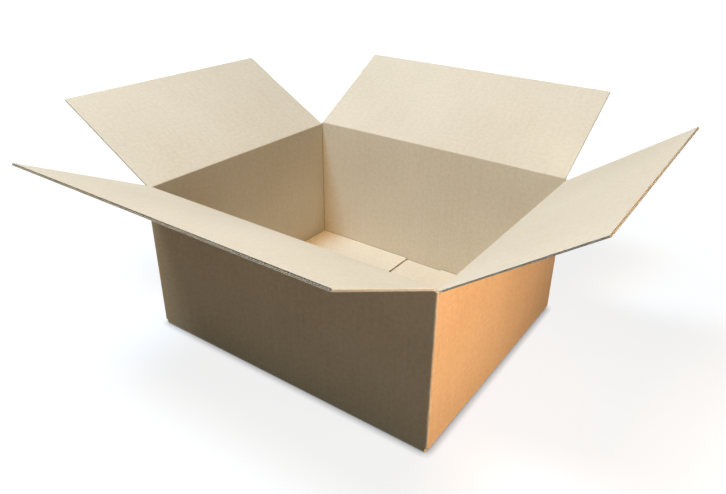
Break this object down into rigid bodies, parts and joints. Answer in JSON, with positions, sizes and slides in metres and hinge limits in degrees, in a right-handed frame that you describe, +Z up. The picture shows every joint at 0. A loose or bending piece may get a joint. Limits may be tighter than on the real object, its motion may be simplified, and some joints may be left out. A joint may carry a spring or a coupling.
{
  "type": "cardboard box",
  "caption": "Large rectangular box of double wall corrugated board, open at the top, with hinged top flaps and closed bottom flaps.",
  "frame": {"origin": "centre of the underside, on the ground", "axes": "+X along the long walls towards the right wall, +Y across the box towards the back wall, +Z up"},
  "size_m": [1.715, 1.5664, 0.7323],
  "materials": {
    "board": "matte kraft paper"
  },
  "bodies": {
    "box": {"box_body": "board"},
    "front_flap": {"front_flap": "board"},
    "back_flap": {"back_flap": "board"},
    "left_flap": {"left_flap": "board"},
    "right_flap": {"right_flap": "board"}
  },
  "joints": [
    {"name": "front_crease", "type": "hinge", "parent": "box", "child": "front_flap", "pos_m": [0, -0.4194, 0.491], "axis": [-1, 0, 0], "range_deg": [-86.4, 153.6]},
    {"name": "back_crease", "type": "hinge", "parent": "box", "child": "back_flap", "pos_m": [0, 0.4194, 0.491], "axis": [1, 0, 0], "range_deg": [-90.3, 149.7]},
    {"name": "left_crease", "type": "hinge", "parent": "box", "child": "left_flap", "pos_m": [-0.5044, 0, 0.484], "axis": [0, 1, 0], "range_deg": [-90, 150]},
    {"name": "right_crease", "type": "hinge", "parent": "box", "child": "right_flap", "pos_m": [0.5044, 0, 0.484], "axis": [0, -1, 0], "range_deg": [-95.7, 144.3]}
  ]
}
